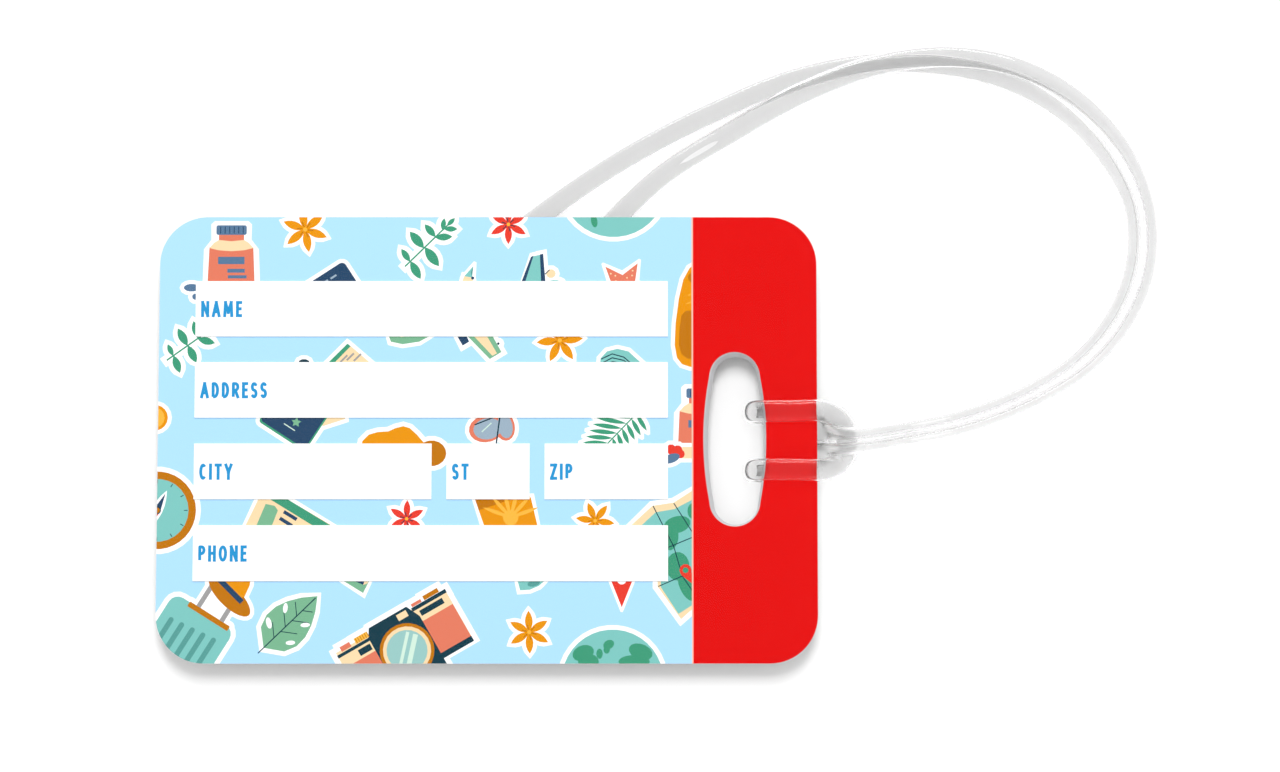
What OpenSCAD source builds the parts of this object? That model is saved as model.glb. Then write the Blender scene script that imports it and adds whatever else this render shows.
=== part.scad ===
// Luggage tag: a laminated plastic card with write-on panels, held by a clear vinyl loop
// that is hitched through the card's slot.
// +X runs along the card towards the slot and +Z out of its printed front. The origin is
// the middle of the card, and the tag lies flat with the loop resting under one corner.

/* [Card] */
// Length of the card
card_w = 101.6; // [96:0.1:110]
// Height of the card
card_h = 69; // [66:0.5:76]
// Radius of the card's corners
corner_r = 7.4; // [4:0.1:10]
// Thickness of the white core board
core_t = 1.3; // [1:0.1:1.6]
// Thickness of the printed sheet
print_t = 0.1; // [0.1:0.05:0.2]
// Thickness of each clear laminate
laminate_t = 0.2; // [0.15:0.05:0.3]
// Width of the coloured header band at the slot end
header_w = 19.1; // [17:0.1:21]

/* [Slot] */
// Distance from the card's end to the middle of the slot
slot_inset = 12.7; // [12:0.1:14]
// Length of the slot
slot_l = 27; // [22:0.5:32]
// Widest width of the slot, at its middle
slot_w = 9.7; // [9:0.1:10.5]
// Radius of the slot's bulging sides
slot_side_r = 51.5; // [40:0.5:80]

/* [Write-on panels] */
// Height of every panel
panel_h = 8.6; // [7:0.1:10]
// Distance from the card's left end to the panels
panel_inset = 5.6; // [4:0.1:7]
// Length of the full-width panels
panel_w = 73; // [70:0.5:74]
// Distance from one row of panels to the next
row_pitch = 12.6; // [12:0.1:13.5]
// Height of the first row's middle above the card's middle
first_row_y = 20.2; // [18:0.1:21]
// Length of the city panel
city_w = 36.6; // [30:0.1:40]
// Length of the state panel
state_w = 12.8; // [10:0.1:14]
// Gap between panels in one row
panel_gap = 2.3; // [1.5:0.1:3]

/* [Strap] */
// Width of the flat-oval strap
strap_w = 3.4; // [3:0.1:3.6]
// Thickness of the strap
strap_t = 2; // [1.8:0.1:2.2]
// Clearance between the strap and the card
strap_gap = 0.15; // [0.1:0.05:0.2]

/* [Hidden] */
$fn = 96;

card_t = core_t + print_t + 2 * laminate_t;
back_z = -card_t / 2;
core_z = back_z + laminate_t;
print_z = core_z + core_t;
front_z = print_z + print_t;
header_x = card_w / 2 - header_w;
slot_x = card_w / 2 - slot_inset;
panel_x = panel_inset - card_w / 2;
state_x = panel_x + city_w + panel_gap;
zip_x = state_x + state_w + panel_gap;
zip_w = panel_x + panel_w - zip_x;

// Heights of the strap's middle line: on the front, on the back, and the table under it
strap_up = card_t / 2 + strap_gap + strap_t / 2;
table_z = -strap_up - strap_t / 2;

// The hitch: two legs over the bridge beside the slot, joined by a bight past the card's end
hitch_y = -0.3;
leg_y = 4.5;
turn_x = 42.4;
bight_x = 51.6;
bight_reach = 4;

// The strap is one closed line of points: [x, y, z, outward, roll]. Outward is the angle from
// +Z to the way that its flat side faces, and roll turns the strap about its own line.

// Half of the hitch, from the bight's tip to the back of the bridge, with y from hitch_y
half_hitch = [
    [bight_x + bight_reach, 0, -strap_up, 0, 0],
    [bight_x + 0.87 * bight_reach, 0.5 * leg_y, -1.4, 0, 0],
    [bight_x + 0.5 * bight_reach, 0.87 * leg_y, 0.7, 0, 0],
    [bight_x, leg_y, strap_up, 0, 0],
    [47, leg_y, strap_up, 0, 0],
    for (a = [0:30:180]) [turn_x - strap_up * sin(a), leg_y, strap_up * cos(a), a, 0],
    [47.6, 3, -strap_up, 180, 0]
];

// The necks, from the back of the bridge up through the bight: [x, y, z, roll]
neck_a = [[51.3, 1.5, -strap_up, 0], [53.3, 1.1, -0.6, 60], [55.6, 0.9, 0.75, 90],
    [59.5, 1.2, 0.35, 90], [64, 2, -1.1, 90]];
neck_b = [[51.3, -2.1, -strap_up, 0], [53.3, -1.7, -0.6, 60], [55.6, -1.5, 0.75, 90],
    [59.5, -1.1, 0.35, 90], [64, -0.2, -1.1, 90]];

// The strands, from the neck to the far end: [x, y, roll, height above the table]
strand_a = [[74, 4.2, 90, 0], [83.7, 8.1, 90, 0], [91.6, 13.2, 80, 0], [97, 19.8, 70, 0],
    [99.9, 27.4, 65, 0], [99.9, 36.2, 60, 0], [95.9, 44.6, 45, 0], [89.1, 51.9, 30, 0],
    [80.2, 56.8, 15, 0], [70, 59.1, 0, 0], [59, 59.1, 0, 0], [48, 56.9, 0, 0],
    [36, 52, 0, 0], [22.5, 45, 0, 0], [8.5, 35.6, 0, 0], [-6.5, 23.3, 0, 0]];
strand_b = [[74, 1.8, 90, 0], [85, 6.1, 90, 0], [93.5, 11.4, 80, 0], [99.5, 18.4, 70, 0],
    [102.9, 26.6, 65, 0], [103.1, 35.8, 60, 0], [99.6, 45.1, 45, 0.3], [92.1, 53.2, 30, 1.4],
    [82.2, 58.3, 15, 2.1], [71, 59.9, 0, 2.1], [60, 58.4, 0, 2.1], [49.5, 54.5, 0, 1.8],
    [38, 48.4, 0, 0.1], [27, 41.5, 0, 0], [17, 31.9, 0, 0], [6, 19.1, 0, 0], [-4, 6.8, 0, 0]];

// The far end, a round turn under the card
end_x = -17;
end_y = 4;
end_r = 8;
end_angles = [for (a = [125.5:28.5:325]) a];

function unit(v) = v / norm(v);
function half_height(roll) = norm([strap_w / 2 * sin(roll), strap_t / 2 * cos(roll)]);
function backwards(line) = [for (i = [len(line) - 1:-1:0]) line[i]];
function mirrored(line) = [for (p = line) [p[0], -p[1], p[2], p[3], p[4]]];
function tail(line) = [for (i = [1:len(line) - 1]) line[i]];
function moved(line, y) = [for (p = line) p + [0, y, 0, 0, 0]];
function risen(neck, way) = [for (p = neck) [p[0], p[1], p[2], 180, way * p[3]]];
function laid(strand, way) =
    [for (p = strand) [p[0], p[1], table_z + half_height(p[2]) + p[3], 180, way * p[2]]];

// The whole line, once round: the hitch, then out along a and back along b
hitch_line = moved(concat(backwards(tail(mirrored(half_hitch))), half_hitch), hitch_y);
out_line = concat(risen(neck_a, 1), laid(strand_a, 1));
end_line = laid([for (a = end_angles)
    [end_x + end_r * cos(a), end_y + end_r * sin(a), 0, 0]], 1);
back_line = backwards(concat(risen(neck_b, -1), laid(strand_b, -1)));
strap_line = concat(hitch_line, out_line, end_line, back_line);

// The numbers of the points at which one piece ends and the next begins
turns = len(strap_line);
hitch_last = len(hitch_line) - 1;
neck_a_last = hitch_last + len(neck_a);
strand_a_last = len(hitch_line) + len(out_line);
end_last = strand_a_last + len(end_line) - 1;
neck_b_first = turns - len(neck_b);

function place(i) = let (p = strap_line[i % turns]) [p[0], p[1], p[2]];
function heading(i) = unit(place(i + 1) - place(i + turns - 1));

// One eight-sided ring of the strap
function ring(i) =
    let (angle = strap_line[i % turns][3],
        roll = strap_line[i % turns][4],
        side = unit(cross([-sin(angle), 0, cos(angle)], heading(i))),
        face = cross(heading(i), side),
        wide = (side * cos(roll) + face * sin(roll)) * strap_w / 2,
        thin = (face * cos(roll) - side * sin(roll)) * strap_t / 2)
    [for (a = [22.5:45:359]) place(i) + (wide * cos(a) + thin * sin(a)) / cos(22.5)];

// The solid strap from one numbered point to another
module strap(first, last) {
    count = last - first;
    color([0.92, 0.94, 0.95, 0.6])
        polyhedron(
            points = [for (i = [first:last]) each ring(i)],
            faces = [
                [for (k = [0:7]) k],
                [for (k = [7:-1:0]) count * 8 + k],
                for (i = [0:count - 1], k = [0:7])
                    let (here = i * 8 + k, beside = i * 8 + (k + 1) % 8)
                    each [[here, here + 8, beside + 8], [here, beside + 8, beside]]
            ]);
}

module card_outline() {
    offset_w = card_w / 2 - corner_r;
    offset_h = card_h / 2 - corner_r;
    square([card_w, 2 * offset_h], center = true);
    square([2 * offset_w, card_h], center = true);
    for (x = [-offset_w, offset_w], y = [-offset_h, offset_h])
        translate([x, y]) circle(corner_r);
}

module slot_outline() {
    cap_r = slot_w * 0.405;
    cap_y = slot_l / 2 - cap_r;
    side_x = slot_side_r - slot_w / 2;
    translate([slot_x, 0]) {
        intersection() {
            translate([-side_x, 0]) circle(slot_side_r, $fn = 360);
            translate([side_x, 0]) circle(slot_side_r, $fn = 360);
            square([slot_w, 2 * cap_y], center = true);
        }
        for (y = [-cap_y, cap_y])
            translate([0, y]) circle(cap_r);
    }
}

module slotted_card() {
    difference() {
        card_outline();
        slot_outline();
    }
}

module panel(x, w, row) {
    translate([x, first_row_y - row * row_pitch - panel_h / 2]) square([w, panel_h]);
}

module all_panels() {
    for (row = [0, 1, 3]) panel(panel_x, panel_w, row);
    panel(panel_x, city_w, 2);
    panel(state_x, state_w, 2);
    panel(zip_x, zip_w, 2);
}

module write_on(x, w, row) {
    color("white") translate([0, 0, front_z])
        linear_extrude(laminate_t) panel(x, w, row);
}

module core_board() {
    color("whitesmoke") translate([0, 0, core_z]) linear_extrude(core_t) slotted_card();
}

module front_print() {
    color([0.73, 0.92, 1]) translate([0, 0, print_z]) linear_extrude(print_t)
        intersection() {
            card_outline();
            translate([-card_w / 2, -card_h / 2]) square([card_w - header_w, card_h]);
        }
}

module header_band() {
    color([0.93, 0.1, 0]) translate([0, 0, print_z]) linear_extrude(print_t)
        intersection() {
            slotted_card();
            translate([header_x, -card_h / 2]) square([header_w, card_h]);
        }
}

module front_laminate() {
    color([0.9, 0.95, 1, 0.3]) translate([0, 0, front_z]) linear_extrude(laminate_t)
        difference() {
            slotted_card();
            all_panels();
        }
}

module back_laminate() {
    color([0.9, 0.95, 1, 0.3]) translate([0, 0, back_z]) linear_extrude(laminate_t)
        slotted_card();
}

module name_panel() { write_on(panel_x, panel_w, 0); }

module address_panel() { write_on(panel_x, panel_w, 1); }

module city_panel() { write_on(panel_x, city_w, 2); }

module state_panel() { write_on(state_x, state_w, 2); }

module zip_panel() { write_on(zip_x, zip_w, 2); }

module phone_panel() { write_on(panel_x, panel_w, 3); }

module strap_hitch() { strap(0, hitch_last); }

module strap_neck_a() { strap(hitch_last, neck_a_last); }

module strap_strand_a() { strap(neck_a_last, strand_a_last); }

module strap_end() { strap(strand_a_last, end_last); }

module strap_strand_b() { strap(end_last, neck_b_first); }

module strap_neck_b() { strap(neck_b_first, turns); }

core_board();
front_print();
header_band();
front_laminate();
back_laminate();
name_panel();
address_panel();
city_panel();
state_panel();
zip_panel();
phone_panel();
strap_hitch();
strap_neck_a();
strap_strand_a();
strap_end();
strap_strand_b();
strap_neck_b();
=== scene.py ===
"""Blender scene of the luggage tag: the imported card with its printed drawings, field names
and films, and the clear vinyl loop. Lengths in the tables below are in mm."""
import math

import bpy
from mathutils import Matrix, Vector
from mathutils.geometry import delaunay_2d_cdt


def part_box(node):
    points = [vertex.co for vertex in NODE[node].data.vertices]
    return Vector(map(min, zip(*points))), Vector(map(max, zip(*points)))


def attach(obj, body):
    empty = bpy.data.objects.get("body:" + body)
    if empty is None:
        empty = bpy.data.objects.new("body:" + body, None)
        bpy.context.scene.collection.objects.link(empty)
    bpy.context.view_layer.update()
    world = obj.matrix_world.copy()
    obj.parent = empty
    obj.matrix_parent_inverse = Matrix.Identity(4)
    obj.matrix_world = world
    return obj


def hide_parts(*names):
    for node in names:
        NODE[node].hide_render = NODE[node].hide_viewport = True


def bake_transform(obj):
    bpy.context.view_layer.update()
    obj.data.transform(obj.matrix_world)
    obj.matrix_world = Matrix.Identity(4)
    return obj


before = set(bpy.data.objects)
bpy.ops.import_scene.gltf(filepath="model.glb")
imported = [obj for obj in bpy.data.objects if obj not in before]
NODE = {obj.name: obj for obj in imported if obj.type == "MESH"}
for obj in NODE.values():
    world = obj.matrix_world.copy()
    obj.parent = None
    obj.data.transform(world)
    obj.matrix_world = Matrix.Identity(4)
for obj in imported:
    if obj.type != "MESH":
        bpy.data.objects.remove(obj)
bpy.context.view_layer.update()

MM = 0.001
scene = bpy.context.scene
scene.view_settings.view_transform = "Standard"

# ---------------------------------------------------------------- camera
IMAGE_MIDDLE = Vector((23.5, 8.2, 0.9))  # what the middle of the photograph shows
LEAN = math.radians(5.5)  # the camera stands this far off square, towards the card's foot
DISTANCE = 548.6  # from there to the camera


def make_camera():
    data = bpy.data.cameras.new("camera")
    data.lens, data.sensor_width = 100, 36
    camera = bpy.data.objects.new("camera", data)
    scene.collection.objects.link(camera)
    back = Vector((0, -math.sin(LEAN), math.cos(LEAN)))
    camera.location = (IMAGE_MIDDLE + back * DISTANCE) * MM
    camera.rotation_mode = "QUATERNION"
    camera.rotation_quaternion = (-back).to_track_quat("-Z", "Y")
    scene.camera = camera


make_camera()


# ---------------------------------------------------------------- meshes
def new_mesh(name, points, faces, smooth=False):
    """An object of this mesh, with its points in mm."""
    mesh = bpy.data.meshes.new(name)
    mesh.from_pydata([Vector(p) * MM for p in points], [], faces)
    mesh.polygons.foreach_set("use_smooth", [smooth] * len(mesh.polygons))
    mesh.update()
    piece = bpy.data.objects.new(name, mesh)
    scene.collection.objects.link(piece)
    return piece


def walls(rings, closed=False):
    """Faces that join each ring of points to the next, and if closed the last to the first."""
    count, sides = len(rings), len(rings[0])
    pairs = [(i, (i + 1) % count) for i in range(count if closed else count - 1)]
    return [[i * sides + k, j * sides + k, j * sides + (k + 1) % sides, i * sides + (k + 1) % sides]
            for i, j in pairs for k in range(sides)]


def tube(name, rings):
    """A closed tube through rings of points, with flat ends."""
    sides, last = len(rings[0]), len(rings) - 1
    faces = walls(rings)
    faces.append(list(range(sides)))
    faces.append([last * sides + k for k in reversed(range(sides))])
    return new_mesh(name, [p for ring in rings for p in ring], faces, smooth=True)


# ---------------------------------------------------------------- the vinyl loop
# The same line as the CAD solids: [x, y, z, outward, roll], with outward the angle from +Z
# to the way that the flat side faces, and roll the strap's turn about its own line.
STRAP_W, STRAP_T = 3.4, 2.0
RING_STEP, RING_SIDES = 1.1, 36  # along the strap's mesh, and round it
STRAP_UP = 2.05  # from the card's middle to the strap's, over and under the bridge
TABLE_Z = -3.05
HITCH_Y, LEG_Y, TURN_X, BIGHT_X, REACH = -0.3, 4.5, 42.4, 51.6, 4

HALF_HITCH = [
    [BIGHT_X + REACH, 0, -STRAP_UP, 0, 0],
    [BIGHT_X + 0.87 * REACH, 0.5 * LEG_Y, -1.4, 0, 0],
    [BIGHT_X + 0.5 * REACH, 0.87 * LEG_Y, 0.7, 0, 0],
    [BIGHT_X, LEG_Y, STRAP_UP, 0, 0],
    [47, LEG_Y, STRAP_UP, 0, 0],
    *([TURN_X - STRAP_UP * math.sin(math.radians(a)), LEG_Y,
       STRAP_UP * math.cos(math.radians(a)), a, 0] for a in range(0, 181, 30)),
    [47.6, 3, -STRAP_UP, 180, 0],
]
NECK_A = [[51.3, 1.5, -STRAP_UP, 0], [53.3, 1.1, -0.6, 60], [55.6, 0.9, 0.75, 90],
          [59.5, 1.2, 0.35, 90], [64, 2, -1.1, 90]]
NECK_B = [[51.3, -2.1, -STRAP_UP, 0], [53.3, -1.7, -0.6, 60], [55.6, -1.5, 0.75, 90],
          [59.5, -1.1, 0.35, 90], [64, -0.2, -1.1, 90]]
# The strands: [x, y, roll, height above the table]
STRAND_A = [[74, 4.2, 90, 0], [83.7, 8.1, 90, 0], [91.6, 13.2, 80, 0], [97, 19.8, 70, 0],
            [99.9, 27.4, 65, 0], [99.9, 36.2, 60, 0], [95.9, 44.6, 45, 0],
            [89.1, 51.9, 30, 0], [80.2, 56.8, 15, 0], [70, 59.1, 0, 0], [59, 59.1, 0, 0],
            [48, 56.9, 0, 0], [36, 52, 0, 0], [22.5, 45, 0, 0], [8.5, 35.6, 0, 0],
            [-6.5, 23.3, 0, 0]]
STRAND_B = [[74, 1.8, 90, 0], [85, 6.1, 90, 0], [93.5, 11.4, 80, 0], [99.5, 18.4, 70, 0],
            [102.9, 26.6, 65, 0], [103.1, 35.8, 60, 0], [99.6, 45.1, 45, 0.3],
            [92.1, 53.2, 30, 1.4], [82.2, 58.3, 15, 2.1], [71, 59.9, 0, 2.1],
            [60, 58.4, 0, 2.1], [49.5, 54.5, 0, 1.8], [38, 48.4, 0, 0.1], [27, 41.5, 0, 0],
            [17, 31.9, 0, 0], [6, 19.1, 0, 0], [-4, 6.8, 0, 0]]
END_X, END_Y, END_R = -17, 4, 8
END_ANGLES = [125.5 + 28.5 * i for i in range(8)]


def laid(x, y, roll, height, way):
    """A point of a strand that lies on the table, or that far above it."""
    turn = math.radians(roll)
    half = math.hypot(STRAP_W / 2 * math.sin(turn), STRAP_T / 2 * math.cos(turn))
    return [x, y, TABLE_Z + half + height, 180, way * roll]


def strap_points():
    """The whole closed line, and the number of the hitch's last point."""
    other = [[x, -y, z, a, r] for x, y, z, a, r in HALF_HITCH]
    hitch = [[x, y + HITCH_Y, z, a, r] for x, y, z, a, r in other[:0:-1] + HALF_HITCH]
    out = [[x, y, z, 180, r] for x, y, z, r in NECK_A]
    out += [laid(*p, 1) for p in STRAND_A]
    turn = [laid(END_X + END_R * math.cos(math.radians(a)),
                 END_Y + END_R * math.sin(math.radians(a)), 0, 0, 1) for a in END_ANGLES]
    back = [[x, y, z, 180, -r] for x, y, z, r in NECK_B]
    back += [laid(*p, -1) for p in STRAND_B]
    return hitch + out + turn + back[::-1], len(hitch) - 1


def smoothed(points, step):
    """A smooth closed line through the points, as points about step apart, and the number
    that each given point has in it."""
    count = len(points)
    gap = [math.dist(points[i][:3], points[(i + 1) % count][:3]) for i in range(count)]
    slopes = []
    for i in range(count):
        before, after = gap[i - 1], gap[i]
        slopes.append([
            ((points[(i + 1) % count][k] - points[i][k]) / after * before
             + (points[i][k] - points[i - 1][k]) / before * after) / (before + after)
            for k in range(5)])
    line, starts = [], []
    for i in range(count):
        starts.append(len(line))
        j, pieces = (i + 1) % count, max(2, round(gap[i] / step))
        for s in range(pieces):
            t = s / pieces
            h = (2 * t**3 - 3 * t**2 + 1, t**3 - 2 * t**2 + t,
                 3 * t**2 - 2 * t**3, t**3 - t**2)
            line.append([h[0] * points[i][k] + h[1] * gap[i] * slopes[i][k]
                         + h[2] * points[j][k] + h[3] * gap[i] * slopes[j][k]
                         for k in range(5)])
    return line, starts


def strap_ring(line, i):
    """One oval ring of the strap, about point i of the closed line."""
    here, count = line[i % len(line)], len(line)
    ahead = Vector(line[(i + 1) % count][:3]) - Vector(line[(i - 1) % count][:3])
    heading = ahead.normalized()
    angle, roll = math.radians(here[3]), math.radians(here[4])
    side = Vector((-math.sin(angle), 0, math.cos(angle))).cross(heading).normalized()
    face = heading.cross(side)
    wide = (side * math.cos(roll) + face * math.sin(roll)) * STRAP_W / 2
    thin = (face * math.cos(roll) - side * math.sin(roll)) * STRAP_T / 2
    turns = [2 * math.pi * k / RING_SIDES for k in range(RING_SIDES)]
    return [Vector(here[:3]) + wide * math.cos(a) + thin * math.sin(a) for a in turns]


def make_strap():
    """The hitch round the bridge, and the free loop that runs out of it and back."""
    points, hitch_last = strap_points()
    line, starts = smoothed(points, RING_STEP)
    cut = starts[hitch_last]
    hitch = tube("vinyl_hitch", [strap_ring(line, i) for i in range(cut + 1)])
    rest = range(cut, len(line) + 1)
    loop = tube("vinyl_loop", [strap_ring(line, i) for i in rest])
    return hitch, loop, [Vector(line[i % len(line)][:3]) for i in rest]


vinyl_hitch, vinyl_loop, LOOP_PATH = make_strap()
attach(vinyl_hitch, "hitch")
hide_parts("strap_hitch")
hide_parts("strap_neck_a", "strap_strand_a", "strap_end", "strap_strand_b",
            "strap_neck_b")
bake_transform(vinyl_loop)


def ramp(value, low, high):
    """0 below low, 1 above high, and smooth between them."""
    share = min(1, max(0, (value - low) / (high - low)))
    return share * share * (3 - 2 * share)


# How far from the hitch the bend starts and ends, the strands leave the knot, and the strap's
# painted shade turns from its near grey to its far, darker one, all measured along the strap
BEND, OUT_OF_KNOT, SHADED = (6, 17.8), (8, 16), (60, 120)
NEAR_SHADE, FAR_SHADE = 0.85, 0.74
# Where along X the hitch's turn in the slot ends and its bight starts, and its painted shades
ON_BRIDGE, PAST_BRIDGE = (42, 43.5), (49.5, 52)
TURN_SHADE, LEG_SHADE, BIGHT_SHADE = 0.78, 1.0, 0.7


def paint_shade_and_scuffs(piece, painted_greys, hazes):
    """The vinyl's painted shade, how grey it is at each ring, and how scuffed it is, which is most
    where it rubs in the knot. These are its looks alone: it is one material."""
    for name, values in (("painted_shade", painted_greys), ("haze", hazes)):
        colours = piece.data.color_attributes.new(name, "FLOAT_COLOR", "POINT")
        for k, corner in enumerate(colours.data):
            value = values[k // RING_SIDES]
            corner.color = (value, value, value, 1)


def paint_strap_shade_and_scuffs():
    """The vinyl's painted shade and scuffs, ring by ring, along the loop and along the hitch."""
    run = [0.0]
    for a, b in zip(LOOP_PATH, LOOP_PATH[1:]):
        run.append(run[-1] + (b - a).length)
    near = [min(r, run[-1] - r) for r in run]
    # Painted shade: the loop's grey darkens from near the hitch to far out along the strands.
    paint_shade_and_scuffs(vinyl_loop, [NEAR_SHADE - (NEAR_SHADE - FAR_SHADE) * ramp(r, *SHADED) for r in near],
         [1 - ramp(r, *OUT_OF_KNOT) for r in near])
    across = [p.co.x / MM for p in list(vinyl_hitch.data.vertices)[::RING_SIDES]]
    # Painted shade: the hitch is greyer in the slot turn and at the bight, and clear on the bridge.
    paint_shade_and_scuffs(vinyl_hitch, [TURN_SHADE + (LEG_SHADE - TURN_SHADE) * ramp(x, *ON_BRIDGE)
                       - (LEG_SHADE - BIGHT_SHADE) * ramp(x, *PAST_BRIDGE) for x in across],
         [ramp(x, *PAST_BRIDGE) for x in across])


paint_strap_shade_and_scuffs()


# ---------------------------------------------------------------- materials
def linear(colour):
    """A colour of 0 to 255 as the linear numbers that shaders take."""
    return tuple((c / 255 / 12.92 if c <= 10 else ((c / 255 + 0.055) / 1.055) ** 2.4)
                 for c in colour) + (1,)


class Shader:
    """A material's nodes, added one at a time."""

    def __init__(self, name):
        self.material = bpy.data.materials.new(name)
        self.material.use_nodes = True
        self.tree = self.material.node_tree
        self.tree.nodes.clear()

    def add(self, kind, inputs=(), **settings):
        made = self.tree.nodes.new("ShaderNode" + kind)
        for key, value in settings.items():
            setattr(made, key, value)
        for key, value in dict(inputs).items():
            if isinstance(value, bpy.types.NodeSocket):
                self.tree.links.new(value, made.inputs[key])
            else:
                made.inputs[key].default_value = value
        return made

    def noise(self, scale, detail=2):
        place = self.add("TexCoord").outputs["Object"]
        return self.add("TexNoise", {"Vector": place, "Scale": scale,
                                     "Detail": detail}).outputs["Fac"]

    def spread(self, source, low, high):
        """Noise, which keeps mostly near its middle, drawn out to run from low to high."""
        return self.add("MapRange", {"Value": source, "From Min": 0.3, "From Max": 0.7,
                                     "To Min": low, "To Max": high}).outputs["Result"]

    def bump(self, scale, height, flat=False):
        """Bumps of this height in mm. Flat takes each face as it is, without smoothing."""
        inputs = {"Strength": 1.0, "Distance": height * MM, "Height": self.noise(scale)}
        if flat:
            inputs["Normal"] = self.add("NewGeometry").outputs["True Normal"]
        return self.add("Bump", inputs).outputs["Normal"]

    def finish(self, shader):
        self.add("OutputMaterial", {"Surface": shader.outputs[0]})
        return self.material


def printed(name, colour, rough, grain=1500, depth=0.01, fade=0.04, ior=1.4):
    """Ink or plastic with a fine mottle in its colour, gloss and surface. The colour is
    one for the whole piece, or the name of the colours on its faces."""
    s = Shader(name)
    if isinstance(colour, str):
        colour = s.add("VertexColor", layer_name=colour).outputs["Color"]
    mix = s.add("MixRGB", {"Fac": s.spread(s.noise(grain), 0, fade), "Color1": colour,
                           "Color2": (0.5, 0.5, 0.52, 1)})
    return s.finish(s.add("BsdfPrincipled", {
        "Base Color": mix.outputs["Color"], "IOR": ior,
        "Roughness": s.spread(s.noise(grain / 3), rough - 0.06, rough + 0.06),
        "Normal": s.bump(grain, depth, flat=True)}))


def clear_film(name, gloss):
    """Laminate film: what is under it shows straight through, and it mirrors softly."""
    s = Shader(name)
    wavy = s.bump(120, 0.02, flat=True)
    mirror = s.add("BsdfGlossy", {
        "Color": (1, 1, 1, 1), "Normal": wavy,
        "Roughness": s.spread(s.noise(300), gloss - 0.03, gloss + 0.03)})
    facing = s.add("LayerWeight", {"Blend": 0.5, "Normal": wavy}).outputs["Facing"]
    edgeways = s.add("Math", {0: facing, 1: 4.0}, operation="POWER").outputs[0]
    share = s.add("MapRange", {"Value": edgeways, "To Min": 0.004, "To Max": 0.4})
    return s.finish(s.add("MixShader", {
        "Fac": share.outputs["Result"], 1: s.add("BsdfTransparent").outputs[0],
        2: mirror.outputs[0]}))


def clear_vinyl(name):
    """Soft clear vinyl, greyed by its painted shade and scuffed where its haze says so. It casts
    hardly any shadow.
    """
    s = Shader(name)
    haze = s.add("VertexColor", layer_name="haze").outputs["Color"]
    scuffed = s.add("Math", {0: haze, 1: 0.3}, operation="MULTIPLY").outputs[0]
    body = s.add("BsdfPrincipled", {
        "Base Color": s.add("VertexColor", layer_name="painted_shade").outputs["Color"],
        "IOR": 1.28, "Transmission Weight": 1.0,
        "Roughness": s.add("Math", {0: s.spread(s.noise(500), 0.04, 0.1), 1: scuffed},
                           operation="ADD").outputs[0],
        "Normal": s.bump(120, 0.012)})
    shadow = s.add("BsdfTransparent", {"Color": (0.96, 0.96, 0.96, 1)})
    return s.finish(s.add("MixShader", {
        "Fac": s.add("LightPath").outputs["Is Shadow Ray"],
        1: body.outputs[0], 2: shadow.outputs[0]}))


def dress(piece, material):
    piece.data.materials.clear()
    piece.data.materials.append(material)


# ---------------------------------------------------------------- flat shapes, in mm
def turned(points, turn, x=0.0, y=0.0):
    c, s = math.cos(math.radians(turn)), math.sin(math.radians(turn))
    return [(x + c * u - s * v, y + s * u + c * v) for u, v in points]


def oval(x, y, rx, ry=None, turn=0):
    ry = rx if ry is None else ry
    sides = 10 + 4 * min(7, int(max(rx, ry)))
    ring = [(rx * math.cos(2 * math.pi * k / sides), ry * math.sin(2 * math.pi * k / sides))
            for k in range(sides)]
    return turned(ring, turn, x, y)


def blade(x, y, length, width, turn, full=1.0):
    """A leaf or petal from (x, y), pointed at both ends; full below 1 widens its foot."""
    steps = 6
    half = [width / 2 * math.sin(math.pi * (k / steps) ** full) ** 0.85
            for k in range(1, steps)]
    side = [(length * (k + 1) / steps, h) for k, h in enumerate(half)]
    other = [(u, -v) for u, v in side]
    return turned([(0, 0), *other, (length, 0), *side[::-1]], turn, x, y)


def tile(x, y, w, h, turn=0, r=0.0, steps=4):
    """A rectangle about (x, y), its corners rounded by r in that many steps."""
    if not r:
        corners = [(-w / 2, -h / 2), (w / 2, -h / 2), (w / 2, h / 2), (-w / 2, h / 2)]
        return turned(corners, turn, x, y)
    ring = []
    for quarter, (a, b) in enumerate([(1, 1), (-1, 1), (-1, -1), (1, -1)]):
        for k in range(steps + 1):
            angle = math.radians(90 * (quarter + k / steps))
            ring.append((a * (w / 2 - r) + r * math.cos(angle),
                         b * (h / 2 - r) + r * math.sin(angle)))
    return turned(ring, turn, x, y)


def bar(x1, y1, x2, y2, width):
    """A straight stroke from one point to another."""
    length = math.dist((x1, y1), (x2, y2))
    turn = math.degrees(math.atan2(y2 - y1, x2 - x1))
    return tile((x1 + x2) / 2, (y1 + y2) / 2, length, width, turn)


def bars(points, width):
    return [bar(*a, *b, width) for a, b in zip(points, points[1:])]


def star(x, y, r, inner, arms, turn):
    ring = [(radius * math.cos(math.pi * k / arms), radius * math.sin(math.pi * k / arms))
            for k in range(2 * arms) for radius in [inner if k % 2 else r]]
    return turned(ring, turn, x, y)


def area(points):
    return sum(a[0] * b[1] - b[0] * a[1] for a, b in zip(points, points[1:] + points[:1])) / 2


def grown(points, d):
    """The outline of a shape set d further out."""
    points = points if area(points) > 0 else points[::-1]
    ring = []
    for k, (x, y) in enumerate(points):
        before, after = points[k - 1], points[(k + 1) % len(points)]
        a = Vector((x - before[0], y - before[1])).normalized()
        b = Vector((after[0] - x, after[1] - y)).normalized()
        if a.dot(b) < -0.2:  # a sharp tip: cut it square
            ring += [(x + a.x * d + a.y * d * 0.7, y + a.y * d - a.x * d * 0.7),
                     (x - b.x * d + b.y * d * 0.7, y - b.y * d - b.x * d * 0.7)]
            continue
        out = Vector((a.y + b.y, -a.x - b.x)).normalized()
        reach = d / max(0.6, out.dot(Vector((a.y, -a.x))))
        ring.append((x + out.x * reach, y + out.y * reach))
    return ring


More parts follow.
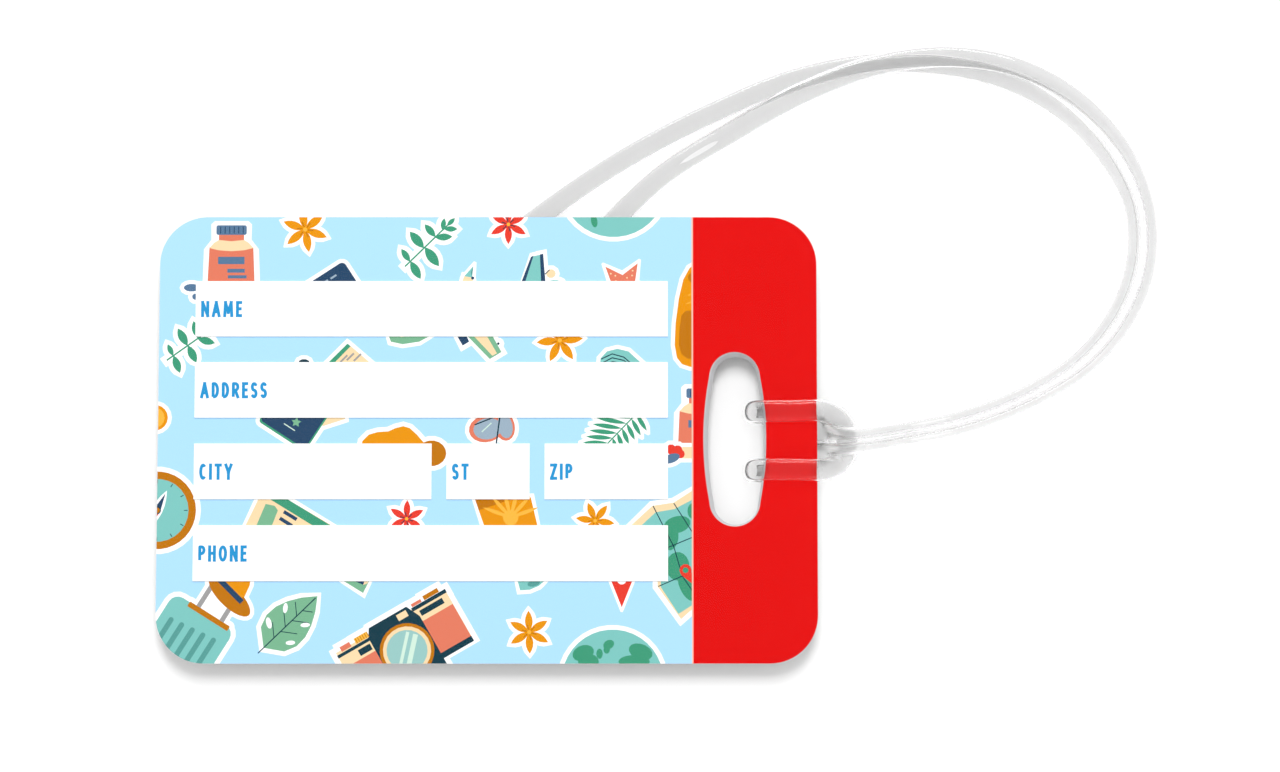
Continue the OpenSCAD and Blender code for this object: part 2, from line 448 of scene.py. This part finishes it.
def triangles(shapes):
    """The flat shapes cut into triangles that cross no outline: the points, and for each
    triangle its corners and the shapes that it lies in."""
    points, faces = [], []
    for shape in shapes:
        shape = shape if area(shape) > 0 else shape[::-1]
        faces.append(list(range(len(points), len(points) + len(shape))))
        points += [Vector(p) for p in shape]
    flat, _, cut, _, _, within = delaunay_2d_cdt(points, [], faces, 1, 1e-4, True)
    return flat, [(c, w) for c, w in zip(cut, within) if w]


def slab(name, flat, corners, low, high):
    """A closed sheet from low to high on these triangles. Its first faces are the top."""
    used = sorted({i for c in corners for i in c})
    place = {i: k for k, i in enumerate(used)}
    count = len(used)
    top = [[place[i] for i in c] for c in corners]
    edges = {(c[k], c[(k + 1) % 3]) for c in top for k in range(3)}
    rim = [(a, b) for a, b in edges if (b, a) not in edges]
    faces = top + [[i + count for i in reversed(c)] for c in top]
    faces += [[a, a + count, b + count, b] for a, b in sorted(rim)]
    points = [(*flat[i], high) for i in used] + [(*flat[i], low) for i in used]
    return new_mesh(name, points, faces)


# ---------------------------------------------------------------- the printed drawings
# Inks of 0 to 255, most of them a little darker than they look under these lamps
INKS = {
    "sky": (173, 220, 253), "white": (255, 255, 255), "orange": (226, 145, 0),
    "amber": (188, 114, 0), "gold": (240, 180, 64), "red": (225, 58, 42),
    "coral": (221, 121, 94), "cream": (241, 214, 170), "teal": (124, 194, 188),
    "sea": (86, 154, 148), "green": (60, 151, 117), "moss": (120, 178, 142),
    "navy": (36, 68, 100), "ink": (12, 56, 70), "slate": (86, 118, 150),
    "grey": (156, 155, 155), "glass": (150, 196, 192), "fog": (152, 172, 188),
    "pale": (206, 232, 216), "blush": (250, 190, 170),
}
drawings = []  # [ink, shape], later ones on top


def sticker(shapes, x=0.0, y=0.0, turn=0, rim=0.6):
    """Shapes on white paper that is cut out round them. A shape whose ink ends in * has
    no paper of its own."""
    placed = [(ink, turned(shape, turn, x, y)) for ink, shape in shapes]
    drawings.extend(("white", grown(s, rim)) for ink, s in placed if not ink.endswith("*"))
    drawings.extend((ink.rstrip("*"), s) for ink, s in placed)


def flower(x, y, r, ink, turn):
    petals = [(ink, blade(0, 0, r, 0.36 * r, 60 * k)) for k in range(6)]
    vein = bar(0.12 * r, 0, 0.36 * r, 0.03 * r, 0.05 * r)
    dark = "amber*" if ink == "orange" else "ink*"
    veins = [(dark, turned(vein, 60 * k + 8)) for k in range(6)]
    sticker([*petals, *veins, ("gold*", oval(0, 0, 0.09 * r))], x, y, turn)


def branch(x, y, turn, length, leaves):
    """A stem from (x, y) and leaves on it: [distance, angle from the stem, length]."""
    shapes = [("green", blade(at, 0, size, 0.42 * size, angle))
              for at, angle, size in leaves]
    sticker([("green", bar(0, 0, length, 0, 0.24)), *shapes], x, y, turn, 0.7)


def bottle(x, y):
    ribs = [("navy*", bar(u, -0.55, u, 0.55, 0.14)) for u in (-1.7, -1, -0.3, 0.4, 1.1, 1.8)]
    sticker([
        ("white*", [(-4.4, -8.6), (-4.25, -3), (-3.1, -1.5), (-3.15, 0.9), (-2.6, 1.4),
                    (2.6, 1.4), (3.15, 0.9), (3.1, -1.5), (4.25, -3), (4.5, -8.6)]),
        ("coral*", [(-3.4, -2.7), (-3.65, -8.4), (3.65, -8.4), (3.4, -2.7)]),
        ("coral*", tile(0, -1.2, 3.9, 1.1)),
        ("cream*", [(-3.4, -2.8), (-2, -3.15), (0, -3.3), (2, -3.15), (3.4, -2.8), (2.7, -2),
                    (1.95, -1.55), (0, -1.75), (-1.95, -1.55), (-2.7, -2)]),
        ("slate*", tile(0, 0, 4.7, 1.5, r=0.3)), *ribs,
        ("slate*", tile(0, -4.75, 4.1, 1.15)), ("slate*", tile(0.75, -6.35, 2.7, 0.6)),
        ("slate*", tile(0.95, -7.3, 2.9, 0.5))], x, y)


def globe(x, y, r, land):
    sticker([("teal", oval(x, y, r)), *(("green*", oval(*a)) for a in land)], rim=0.7)


def pictures_above_name():
    globe(19.4, 39.6, 8.2, [(16.4, 33.9, 0.5, 1.0, 10), (22, 35.2, 0.9, 0.6, 20)])
    sticker([("slate", oval(-45.9, 23.5, 1.2, 0.6)), ("slate", oval(-45.3, 22.1, 0.5))])
    bottle(-39.8, 32.5)
    flower(-28.4, 32.6, 3.6, "orange", 40)
    flower(3.1, 33.4, 3.1, "red", 30)
    branch(-12.9, 26.8, 44.5, 9.4, [(1.1, 80, 2.4), (1.2, -105, 3.2), (4.1, 86, 3.4),
                                    (4.3, -98, 3.7), (6.6, 86, 2.6), (6.5, -42, 2.7),
                                    (8.1, 37, 1.9), (8.4, -45, 2.1), (9.1, 0, 1.7)])
    branch(-49.6, 12.2, 35.5, 6.4, [(1.2, 80, 2.0), (1.3, -105, 2.9), (3.9, 84, 3.1),
                                    (4.0, -99, 3.0), (5.8, -50, 2.8), (5.9, 70, 2.8)])
    sticker([("navy", tile(-26.1, 22.3, 12, 5, 33, 0.7)),
             *(("fog*", bar(u, v, u + 0.9, v + 0.6, 0.3))
               for u, v in ((-24.4, 24.9), (-25.7, 24.1), (-27, 23.3)))])  # bank card
    sticker([("teal", [(-2.3, 26.9), (-3.7, 25.3), (-2.5, 25.1)]),
             ("cream", [(-3.7, 25.3), (-2.5, 25.1), (-2.2, 24), (-4.2, 24)]),
             ("navy*", oval(-2.4, 25.0, 0.25)),
             ("sea*", [(-2.3, 26.9), (-2.7, 25.9), (-2.5, 25.1)])])  # crayon
    sticker([("teal", [(6.9, 28.4), (5.3, 24), (8.8, 24), (8.3, 28.7)]),
             ("navy*", [(6.6, 28.3), (5, 24), (5.6, 24), (7, 28.5)]),
             ("navy", [(8, 28.7), (8.2, 24), (8.9, 24), (8.5, 28.8)]),
             ("cream", oval(9.7, 25.7, 0.75, 0.7)), ("navy*", bar(8.8, 25.6, 9.5, 26.3, 0.14)),
             ("teal", oval(10.3, 24.2, 1.2, 0.5))])  # beach bag
    sticker([("coral", star(21, 23.6, 4.3, 1.9, 5, 60))]
            + [("cream*", turned([(u + a, v + b) for a, b in oval(0, 0, 0.13)], 60 + 72 * k,
                                 21, 23.6))
               for k in range(5) for u, v in ((1.5, 0.3), (2.2, -0.2), (2.9, 0.1), (0.8, -0.3))])
    sticker([("orange", [(32.4, 27.4), (31.2, 26.6), (30.2, 24.8), (29.5, 21.8), (29, 18),
                         (28.85, 14.6), (29.2, 12.6), (30, 11.6), (31.2, 11.2), (32.4, 11.1)]),
             ("amber*", [(32.4, 20), (30.6, 19.9), (29.9, 19.2), (29.6, 17), (29.5, 14.6),
                         (29.9, 13.2), (30.8, 12.5), (32.4, 12.3)]),
             ("amber*", oval(32.2, 25.1, 1.3, 0.95)),
             ("gold*", bar(30.9, 22.3, 32.2, 22.8, 0.16)),
             ("gold*", bar(30.7, 21, 32.2, 21.5, 0.16))])  # backpack


def pictures_above_address():
    sticker([("moss", [(-15.4, 16.2), (-15, 15.1), (-13.2, 14.7), (-10.6, 15.1), (-8.6, 16.2)]),
             ("cream*", [(-14.4, 16.2), (-13.4, 15.8), (-11, 16.2)])])  # boat
    sticker([("cream", [(-21.3, 14.5), (-24.2, 11.4), (-20, 9.5), (-17.8, 11.5)]),
             ("green", [(-21.7, 14.8), (-24.8, 11.7), (-24.2, 11.3), (-21.2, 14.4)]),
             *(("grey*", bar(u, v, u + 1.1, v + 1.1, 0.3))
               for u, v in ((-22.8, 11.9), (-21.8, 12.2), (-20.7, 12.1)))])  # letters
    sticker([("ink", oval(-28.4, 11.8, 0.9, 0.6))])
    sticker([("navy", [(-4.9, 16.2), (-3.9, 14.5), (-2.9, 15.1), (-3.4, 16.2)]),
             ("moss", [(-3.4, 16.2), (0.3, 12.4), (2.1, 13.5), (0.6, 16.2)]),
             ("cream*", [(-2.4, 16.2), (0.7, 12.9), (1.4, 13.3), (-0.3, 16.2)]),
             ("ink", oval(1.6, 14.8, 0.2))], rim=0.7)  # pennant
    flower(11.1, 15.3, 3.6, "orange", 5)
    sticker([("teal", [(17.3, 11), (17.4, 12.5), (18.4, 13.6), (20, 14), (21.7, 13.6),
                       (22.8, 12.6), (23.8, 11.7), (23.8, 11)]),
             *(("ink*", s) for k in range(3)
               for s in bars([(17.5 + 0.2 * k, 12.4 - 0.6 * k), (19.2, 13.2 - 0.6 * k),
                              (21, 12.7 - 0.5 * k), (22.6 - 0.3 * k, 11.3 - 0.2 * k)], 0.17))])
    bottle(33.0, 7.1)
    sticker([("cream", tile(31.8, -2.1, 3.6, 1.8)), ("red", oval(28.3, -1.6, 0.8)),
             ("red", oval(29.3, -1.7, 0.75)), ("red", oval(29.7, -2.3, 0.7)),
             ("slate", oval(28.3, -3.0, 1.4, 0.7, 20))])


def pictures_above_city():
    sticker([("cream", [(-26.5, 4), (-22, 4), (-22, 3.1), (-25.4, 2)]),
             ("green", tile(-28.9, 4.8, 8.6, 10.5, -33, 0.5)),
             ("navy*", tile(-28.9, 4.9, 8.2, 10, -33, 0.5)),
             ("moss*", star(-29.5, 2.6, 0.8, 0.4, 5, 10)),
             ("pale*", bar(-31.4, 2.4, -29.7, 1.3, 0.16))])  # passport
    sticker([("orange", [(-19.5, -1.6), (-19.3, -0.3), (-18.3, 0.7), (-16.9, 1.1), (-15.3, 1.2),
                         (-14.2, 1.7), (-13, 2), (-12, 1.7), (-10.9, 0.7), (-9.6, -0.8),
                         (-9.4, -1.6)]),
             ("amber", oval(-8.6, -2.2, 2.25, 2))], rim=0.7)  # sun hat
    sticker([("coral", oval(-0.2, 1.6, 2.7, 2.1, 10)), ("coral", oval(2.6, 2, 1.6, 2.3, 12)),
             ("fog*", oval(0, 1.6, 2.2, 1.65, 10)), ("fog*", oval(2.7, 2, 1.15, 1.9, 12)),
             ("ink*", bar(1.9, 3.6, 1.35, -0.7, 0.22)), ("ink*", bar(-2, 2.2, 1, 3.4, 0.2)),
             ("pale*", bar(-0.9, 1.1, 0.6, 2.5, 0.16))])  # sunglasses
    fronds = []
    for k in range(7):
        u, v = 22.9 - 0.72 * k, 3.9 - 0.75 * k
        fronds += [("green", blade(u, v, 5.4 - 0.25 * k, 0.72, 164 + 2.5 * k)),
                   ("green", blade(u, v, 3.1 - 0.15 * k, 0.7, -58 - 3 * k))]
    sticker([*fronds, ("green", bar(23, 4, 18.2, -1, 0.2))])  # palm leaf
    sticker([("orange", oval(-51.3, 3.3, 2)), ("gold*", oval(-51.4, 3.3, 1.6))])
    dial = [("ink*", turned(bar(4.15, 0, 4.7, 0, 0.12), 30 * k)) for k in range(12)]
    sticker([("amber", oval(0, 0, 6)), ("teal*", oval(0, 0, 4.85)), *dial,
             ("white*", turned(blade(-3.4, 0, 6.8, 1.7, 0), 64)),
             ("navy*", turned([(0, -0.55), (2.9, 0), (0, 0.55)], 64)),
             ("red*", turned([(0, 0.55), (-2.9, 0), (0, -0.55)], 64)),
             ("ink*", oval(0, 0, 0.62)), ("amber*", oval(0, 0, 0.45))], -50.8, -11,
            rim=0.75)  # compass


def pictures_above_phone():
    sticker([("cream", [(-35, -8.8), (-37.3, -13.6), (-23.4, -13.6), (-31.6, -8.8)]),
             ("green", [(-33.9, -9), (-26.4, -13.6), (-23.6, -13.6), (-31.2, -9)]),
             ("moss*", [(-34.1, -10), (-35.6, -13.6), (-33.2, -13.6), (-32.2, -11),
                        (-32.7, -10.3)]),
             ("navy*", bar(-31.3, -11.2, -29.3, -12.4, 0.55)),
             ("navy*", bar(-31.9, -12.2, -30, -13.4, 0.55))])  # boarding pass
    flower(-12.4, -12.3, 2.9, "red", 28)
    sun = [("gold*", blade(3.6, -12.1, 4.6, 0.6, 20 + 28 * k)) for k in range(6)]
    sticker([("orange", [(-2, -9), (-0.4, -13.6), (7.8, -13.6), (6.7, -9)]),
             ("amber*", [(-2, -9), (-1.3, -11), (4.6, -9)]), *sun,
             ("gold*", oval(3.6, -12.1, 1.2))])  # sun cream
    flower(16.6, -12.6, 3.0, "orange", 52)
    sticker([("cream", [(21.6, -13.8), (25.4, -10.3), (28.7, -9.8), (32.4, -7.4),
                        (32.4, -25.4), (29.8, -27.7), (26.2, -22.7), (26.2, -13.8)]),
             ("teal*", [(23.2, -13.8), (25.9, -11.3), (28.8, -10.8), (32.4, -8.9),
                        (32.4, -25), (29.4, -26.9), (26.7, -22.8), (26.7, -13.8)]),
             *(("green*", oval(*a)) for a in (
                 (29.2, -13.2, 2.1, 1.3, 15), (28.3, -15.3, 1.1, 1.9, -10),
                 (29.3, -19.6, 1.8, 2.2, 0), (30.7, -22.7, 1.1, 2.4, 25),
                 (31.6, -11.1, 0.8, 1.2, 0))),
             *(("ink*", s) for route in (
                 [(25.5, -10.3), (28.7, -16.6), (30, -21.1), (31.9, -23.9)],
                 [(28.7, -9.9), (31.9, -14.9)], [(27.6, -16.8), (31.9, -15)],
                 [(26.3, -22.7), (30, -21.1)]) for s in bars(route, 0.15)),
             ("red*", oval(30.5, -20.2, 0.95)), ("green*", oval(30.5, -20.2, 0.45)),
             ("red*", [(29.8, -20.9), (31.9, -22.6), (31.4, -20.4)])], rim=0.75)  # map


def pictures_below_phone():
    ribs = [("sea*", tile(-3.7 + 1.8 * k, -1.6 + 0.2 * k, 0.8, 7.4, 0, 0.38)) for k in range(5)]
    sticker([("white", tile(0.9, 6.9, 4.6, 3)), ("teal", tile(0, 0, 11, 11, 0, 1.6)), *ribs,
             ("amber", tile(0.9, 5.2, 7.3, 0.85, 0, 0.2))], -46.2, -31.2, -32, 0.75)  # case
    sticker([("grey*", bar(-44.25, -25.8, -41.8, -21.9, 0.75)),
             ("grey*", bar(-40.7, -28.05, -38.7, -24.8, 0.75)),
             ("amber", oval(-39.5, -24.2, 4.2, 1.6, -44)),
             ("orange", [(-40.8, -21.4), (-38.2, -24.5), (-37.2, -24.3), (-36.4, -22.5),
                         (-36.3, -21.4)]),
             ("navy*", bar(-41.3, -21.4, -37.6, -25.1, 0.85))])  # hat on the case
    veins = [bar(-1.2, 0, 11, 0, 0.17)]
    for at, way, reach in ((2.2, 1, 2.4), (3.6, -1, 2.6), (4.6, 1, 2.9), (6, -1, 2.6),
                           (7, 1, 2.2), (8.2, -1, 1.6)):
        veins.append(turned(bar(0, 0, reach, 0, 0.13), 52 * way, at, 0))
    sticker([("moss", blade(0, 0, 11.4, 6.8, 0, 0.75)),
             *(("ink*", v) for v in veins),
             ("white*", oval(3.2, 2.2, 0.9, 0.42, 60)), ("white*", oval(6.6, 2.1, 0.8, 0.36, 40)),
             ("white*", oval(3.5, -2.3, 0.75, 0.34, -40)),
             ("white*", oval(7, -1.9, 0.75, 0.34, -40))], -34.2, -32.1, 44, 0.7)  # big leaf
    sticker([("moss", [(-22.6, -21.5), (-19, -23.7), (-17.9, -21.5)]),
             ("navy*", bar(-20.1, -21.7, -18.7, -22.3, 0.5)),
             ("cream*", [(-19, -22.5), (-18.3, -22.2), (-18.1, -21.5), (-18.7, -21.5)])])
    camera_sticker(-12.2, -32.5, 30)
    sticker([("teal", [(4.6, -21.5), (5.1, -23.3), (6.6, -23.2), (8, -22.6), (9.2, -21.5)]),
             ("sea*", oval(7.2, -22.2, 1.0, 0.5, 15))])
    flower(6.5, -29.7, 3.3, "orange", 32)
    sticker([("red", [(18.9, -21.4), (20.7, -25.9), (22.5, -21.4)]),
             ("white*", oval(20.7, -21.3, 0.85, 1.1))])
    globe(19.3, -37.1, 7.8, [(14.8, -32.9, 1.7, 1.2, 20), (15.6, -34.2, 1.6, 1.2, 0),
                             (18.7, -31.6, 0.9, 0.7, 30), (18.4, -32.4, 0.5, 0.6, 0),
                             (23.6, -32.7, 1.9, 1.2, -20), (22.6, -34.2, 2.4, 1, 0),
                             (17.3, -33, 0.5, 0.8, 0)])


def camera_sticker(x, y, turn):
    """A plain viewfinder camera, drawn from its lens."""
    knurls = [("amber*", bar(-6.0 + 0.4 * k, 4.75, -6.0 + 0.4 * k, 5.6, 0.12))
              for k in range(6)]
    sticker([
        ("cream", tile(0, 0.8, 19.3, 8.6)), ("coral*", tile(6.9, -0.3, 5.4, 6)),
        ("coral*", tile(-6.9, -0.7, 5.4, 6.2)), ("ink*", tile(0, -3.4, 19.3, 0.9)),
        ("ink", [(-4.2, -6), (4.3, -6), (4.3, 3.6), (3.2, 5.9), (-3.4, 5.9), (-4.2, 4.6)]),
        ("ink", tile(6.7, 5.0, 6, 0.6)), ("ink*", tile(6.6, 3.9, 4, 0.9)),
        ("ink", tile(-6.8, 4.4, 5.8, 0.5)), ("ink*", tile(-5.5, 3.3, 2.1, 1)),
        ("amber", tile(7.4, 5.7, 2.6, 0.7)), ("coral", tile(4.8, 5.6, 1.7, 0.5)),
        ("coral", tile(-7.9, 5.2, 1.7, 0.8)), ("gold", tile(-5.1, 5.2, 2.3, 0.9)), *knurls,
        ("cream*", tile(2.0, 5.0, 1.7, 1.0)), ("amber*", oval(0, 0, 4.2)),
        ("cream*", oval(0, 0, 3.7)), ("glass*", oval(0, 0, 3.15)),
        ("pale*", turned(tile(-0.5, 0, 0.5, 5.6), -42)),
        ("pale*", turned(tile(0.75, 0, 0.75, 5.4), -42))], x, y, turn, 0.8)


# ---------------------------------------------------------------- the card's sheets
CARD_W, CARD_H, CORNER_R, BAND_X = 101.6, 69.0, 7.4, 31.7
BACK_Z, CORE_Z, PRINT_Z, FILM_Z, FRONT_Z = -0.9, -0.7, 0.6, 0.7, 0.9  # between the layers
GAP = 0.02  # left round the clear films, so that no two faces coincide
EDGE_W = 0.24  # the pale line where the drawings end at the red band
SLOT_X, SLOT_L, SLOT_W, SLOT_SIDE_R = 38.1, 27.0, 9.7, 51.5
CARD = tile(0, 0, CARD_W, CARD_H, 0, CORNER_R, 24)


def slot_line():
    """The slot's outline, turning left: [x, y, outward x, outward y]."""
    cap_r = 0.405 * SLOT_W  # of its round ends, a little narrower than its middle
    cap_y = SLOT_L / 2 - cap_r
    side_x = SLOT_SIDE_R - SLOT_W / 2
    swing = math.asin(cap_y / SLOT_SIDE_R)
    ring = []
    for way in (1, -1):
        for k in range(21):
            a = swing * (k / 10 - 1)
            ring.append((way * (SLOT_SIDE_R * math.cos(a) - side_x) + SLOT_X,
                         way * SLOT_SIDE_R * math.sin(a), way * math.cos(a), way * math.sin(a)))
        for k in range(1, 20):
            a = math.pi * k / 20
            ring.append((way * cap_r * math.cos(a) + SLOT_X,
                         way * (cap_y + cap_r * math.sin(a)), way * math.cos(a),
                         way * math.sin(a)))
    return ring


SLOT = [(x, y) for x, y, _, _ in slot_line()]


def make_print():
    """The printed sheet, with the drawings as areas of ink in its upper face."""
    pictures_above_name()
    pictures_above_address()
    pictures_above_city()
    pictures_above_phone()
    pictures_below_phone()
    drawings.append(("blush", tile(BAND_X - EDGE_W / 2, 0, EDGE_W, CARD_H)))
    left = tile((BAND_X - CARD_W) / 2, 0, CARD_W + BAND_X, CARD_H)  # of the red band
    names = ["sky", "sky"] + [ink for ink, _ in drawings]
    flat, cut = triangles([CARD, left] + [s for _, s in drawings])
    cut = [(c, max(within)) for c, within in cut if {0, 1} <= set(within)]
    piece = slab("travel_print", flat, [c for c, _ in cut], PRINT_Z, FILM_Z)
    colours = piece.data.color_attributes.new("ink", "FLOAT_COLOR", "CORNER")
    for number, face in enumerate(piece.data.polygons):
        ink = names[cut[number][1]] if number < len(cut) else "white"
        colour = linear(INKS[ink])
        for corner in face.loop_indices:
            colours.data[corner].color = colour
    return piece


def cut_sheet(name, low, high, holes, start=-CARD_W / 2):
    """A sheet of the card's outline with holes, from x = start to the card's end."""
    part = tile((start + CARD_W / 2) / 2, 0, CARD_W / 2 - start, CARD_H)
    flat, cut = triangles([CARD, part, *holes])
    return slab(name, flat, [c for c, within in cut if sorted(within) == [0, 1]], low, high)


def panel_corners(panel):
    low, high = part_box(panel)
    return tile((low.x + high.x) / 2 / MM, (low.y + high.y) / 2 / MM,
                (high.x - low.x) / MM + 2 * GAP, (high.y - low.y) / MM + 2 * GAP)


PANELS = ["name_panel", "address_panel", "city_panel", "state_panel", "zip_panel",
          "phone_panel"]
red_band = cut_sheet("red_band", PRINT_Z, FILM_Z, [SLOT], BAND_X)
front_film = cut_sheet("front_film", FILM_Z + GAP, FRONT_Z, [SLOT, *map(panel_corners, PANELS)])
back_film = cut_sheet("back_film", BACK_Z, CORE_Z - GAP, [SLOT])
for piece, node, slot_name in ((red_band, "header_band", "header"),
                               (front_film, "front_laminate", "front_film"),
                               (back_film, "back_laminate", "back_film")):
    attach(piece, "card")
    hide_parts(node)
travel_print = make_print()
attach(travel_print, "card")
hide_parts("front_print")

# ---------------------------------------------------------------- the field names
CAP_H, PEN, LETTER_GAP = 2.5, 0.46, 0.41
WORD_INSET, WORD_DROP = 0.85, 0.05  # from the panel's left end, and below its middle
INK_LOW, INK_HIGH = FRONT_Z - 0.005, FRONT_Z + 0.02


def arc(x, y, rx, ry, start, stop):
    steps = max(3, round(abs(stop - start) / 18))
    angles = [math.radians(start + (stop - start) * k / steps) for k in range(steps + 1)]
    return [(x + rx * math.cos(a), y + ry * math.sin(a)) for a in angles]


BOWL = [(0, 1), *arc(0.45, 0.75, 0.55, 0.25, 90, -90), (0, 0.5)]
# Each letter: its width, and its strokes in a box of one by one
LETTERS = {
    "A": (1.35, [[(0, 0), (0.5, 1), (1, 0)], [(0.22, 0.3), (0.78, 0.3)]]),
    "C": (1.1, [arc(0.55, 0.5, 0.55, 0.5, 48, 312)]),
    "D": (1.15, [[(0, 0), (0, 1), *arc(0.3, 0.5, 0.7, 0.5, 90, -90), (0, 0)]]),
    "E": (0.95, [[(1, 0), (0, 0), (0, 1), (1, 1)], [(0, 0.52), (0.85, 0.52)]]),
    "H": (1.2, [[(0, 0), (0, 1)], [(1, 0), (1, 1)], [(0, 0.52), (1, 0.52)]]),
    "I": (0.44, [[(0.5, 0), (0.5, 1)]]),
    "M": (1.55, [[(0, 0), (0.1, 1), (0.5, 0.25), (0.9, 1), (1, 0)]]),
    "N": (1.25, [[(0, 0), (0, 1), (1, 0), (1, 1)]]),
    "O": (1.3, [arc(0.5, 0.5, 0.5, 0.5, 0, 360)]),
    "P": (1.1, [[(0, 0), *BOWL]]),
    "R": (1.15, [[(0, 0), *BOWL], [(0.45, 0.5), (1, 0)]]),
    "S": (1.05, [[*arc(0.5, 0.75, 0.5, 0.25, 25, 270), *arc(0.5, 0.25, 0.5, 0.25, 90, -155)]]),
    "T": (1.1, [[(0, 1), (1, 1)], [(0.5, 1), (0.5, 0)]]),
    "Y": (1.25, [[(0, 1), (0.5, 0.45), (1, 1)], [(0.5, 0.45), (0.5, 0)]]),
    "Z": (1.1, [[(0, 1), (1, 1), (0, 0), (1, 0)]]),
}


def lettering(word, x, y):
    """The strokes of a word, from its left end on its foot line."""
    shapes = []
    for letter in word:
        width, strokes = LETTERS[letter]
        for stroke in strokes:
            curved = len(stroke) >= 6  # round dots join it up, where others have square ends
            points = [(x + PEN / 2 + u * (width - PEN), y + PEN / 2 + v * (CAP_H - PEN))
                      for u, v in stroke]
            for (x1, y1), (x2, y2) in zip(points, points[1:]):
                run = math.dist((x1, y1), (x2, y2))
                if run > 0.01:
                    out = 0.0 if curved else PEN * 0.5 / run
                    a, b = (x2 - x1) * out, (y2 - y1) * out
                    shapes.append(bar(x1 - a, y1 - b, x2 + a, y2 + b, PEN))
            if curved:
                shapes += [oval(u, v, PEN / 2) for u, v in points[1:-1]]
        x += width + LETTER_GAP
    return shapes


def make_field_names():
    words = []
    for word, panel in zip(("NAME", "ADDRESS", "CITY", "ST", "ZIP", "PHONE"), PANELS):
        low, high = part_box(panel)
        words += lettering(word, low.x / MM + WORD_INSET,
                           (low.y + high.y) / 2 / MM - CAP_H / 2 - WORD_DROP)
    flat, cut = triangles(words)
    return slab("field_names", flat, [c for c, _ in cut], INK_LOW, INK_HIGH)


field_names = make_field_names()
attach(field_names, "card")

# ---------------------------------------------------------------- the slot's lip
LIP_W, LIP_SHIFT = 0.5, 0.26  # its usual width, and how much wider or narrower it gets


def make_lip():
    """The board's cut edge inside the slot, which slopes in towards the back. It is wider on the
    upper left, where its grey, a painted shade darker than the board, shows as a wider band."""
    profile = []
    for x, y, out_x, out_y in slot_line():
        wide = LIP_W + LIP_SHIFT * (0.6 * out_y - 0.8 * out_x)
        # Each ring's points as how far out from the slot's line, and how high
        profile.append([(x + out_x * d, y + out_y * d, z) for d, z in (
            (0.02, 0.66), (-0.3 * wide, 0.5), (-wide, -0.35), (-wide, -0.88), (0.02, -0.88))])
    return new_mesh("slot_lip", [p for ring in profile for p in ring],
                    walls(profile, closed=True))


slot_lip = make_lip()
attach(slot_lip, "card")

# ---------------------------------------------------------------- finishes
BOARD = printed("board", linear((240, 240, 238)), 0.45, grain=2500, depth=0.01)
PANEL = printed("write_on", linear((253, 253, 253)), 0.6, grain=6000, depth=0.012, fade=0.02)
dress(NODE["core_board"], BOARD)
dress(red_band, printed("red_ink", linear((218, 0, 0)), 0.4, fade=0.01, ior=1.1))
dress(front_film, clear_film("front_gloss", 0.08))
dress(back_film, clear_film("back_gloss", 0.12))
for panel in PANELS:
    dress(NODE[panel], PANEL)
dress(travel_print, printed("travel_inks", "ink", 0.4, grain=2500, fade=0.02, ior=1.1))
dress(field_names, printed("field_ink", linear((0, 143, 204)), 0.5, grain=4000))
# The lip's grey is painted shade: it is the board's own cut edge, made darker than the board.
dress(slot_lip, printed("lip_painted_shade", linear((200, 200, 202)), 0.35, grain=1800))
VINYL = clear_vinyl("clear_vinyl")
dress(vinyl_hitch, VINYL)
dress(vinyl_loop, VINYL)

# ---------------------------------------------------------------- floor and light
FLOOR_REACH, FLOOR_Z = 6000, TABLE_Z - 0.02
floor = new_mesh("floor", [(x * FLOOR_REACH, y * FLOOR_REACH, FLOOR_Z)
                           for x, y in ((-1, -1), (1, -1), (1, 1), (-1, 1))], [(0, 1, 2, 3)])
dress(floor, printed("floor", linear((250, 250, 250)), 0.6, grain=60, fade=0.01))

world = bpy.data.worlds.new("studio")
world.use_nodes = True
background = world.node_tree.nodes["Background"]
background.inputs["Color"].default_value = (1, 1, 1, 1)
background.inputs["Strength"].default_value = 0.72
scene.world = world

LAMP_AIM = Vector((0.02, 0.0, 0))  # in metres, as the lamps' places and sizes are


def lamp(name, place, size, power):
    """A rectangular lamp that points at the tag."""
    data = bpy.data.lights.new(name, "AREA")
    data.shape, data.size, data.size_y, data.energy = "RECTANGLE", size[0], size[1], power
    made = bpy.data.objects.new(name, data)
    scene.collection.objects.link(made)
    made.location = place
    made.rotation_mode = "QUATERNION"
    made.rotation_quaternion = (LAMP_AIM - made.location).to_track_quat("-Z", "Y")
    return made


# The key lights the matt surfaces, and the strip only makes glints on the vinyl and films.
# Neither is seen through the vinyl.
key = lamp("key", Vector((0.02, 0.75, 1.15)), (0.5, 0.6), 11)
strip = lamp("strip", Vector((0.02, 1.04, 0.6)), (0.9, 0.3), 8)
key.visible_glossy = strip.visible_diffuse = False
key.visible_transmission = strip.visible_transmission = False
